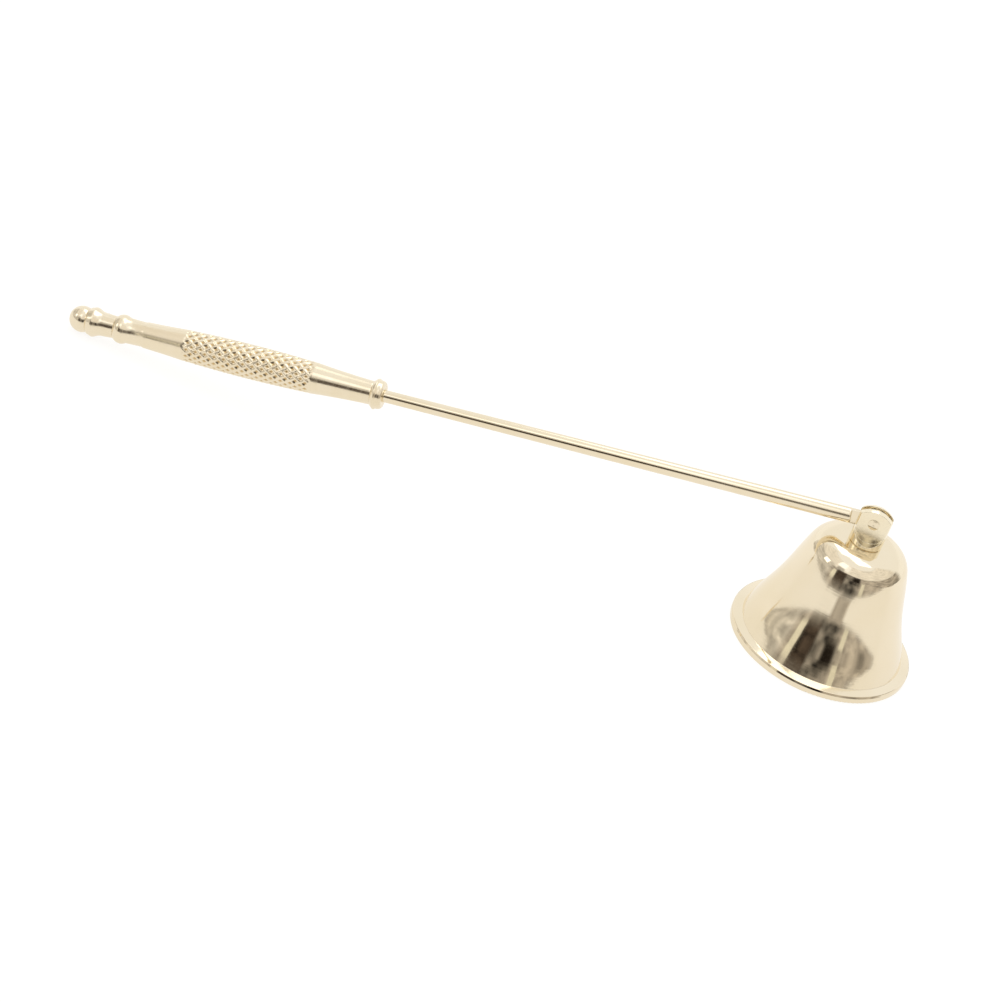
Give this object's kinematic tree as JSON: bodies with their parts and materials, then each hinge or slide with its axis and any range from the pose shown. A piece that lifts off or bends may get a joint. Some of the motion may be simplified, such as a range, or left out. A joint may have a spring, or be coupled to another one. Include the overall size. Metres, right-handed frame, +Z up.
{
  "type": "candle snuffer",
  "caption": "Candle snuffer: a small flared bell that swings on a long tapered rod, with a knurled handle and a ball end.",
  "frame": {"origin": "middle of the bounding box's base, on the table under the handle", "axes": "+Z up, the handle runs from the bell towards -X and down to the table, Y across, along the pivot pin"},
  "size_m": [0.1962, 0.04, 0.0356],
  "materials": {
    "bell_brass": "polished pale gold plating",
    "rod_brass": "polished pale gold plating",
    "fitting_brass": "polished pale gold plating",
    "grip_brass": "turned and knurled, pale gold plating",
    "fixing_steel": "plain bright steel"
  },
  "bodies": {
    "handle": {"rod": "rod_brass", "front_collar": "fitting_brass", "grip": "grip_brass", "tail_finial": "fitting_brass"},
    "bell": {"bell": "bell_brass", "yoke": "fitting_brass", "crown_washer": "fixing_steel", "crown_nut": "fixing_steel", "pivot_pin": "fitting_brass"}
  },
  "joints": [
    {"name": "bell_swivel", "type": "hinge", "parent": "handle", "child": "bell", "pos_m": [0.07815, 0, 0.0325], "axis": [0, 1, 0], "range_deg": [-215, 16]}
  ]
}
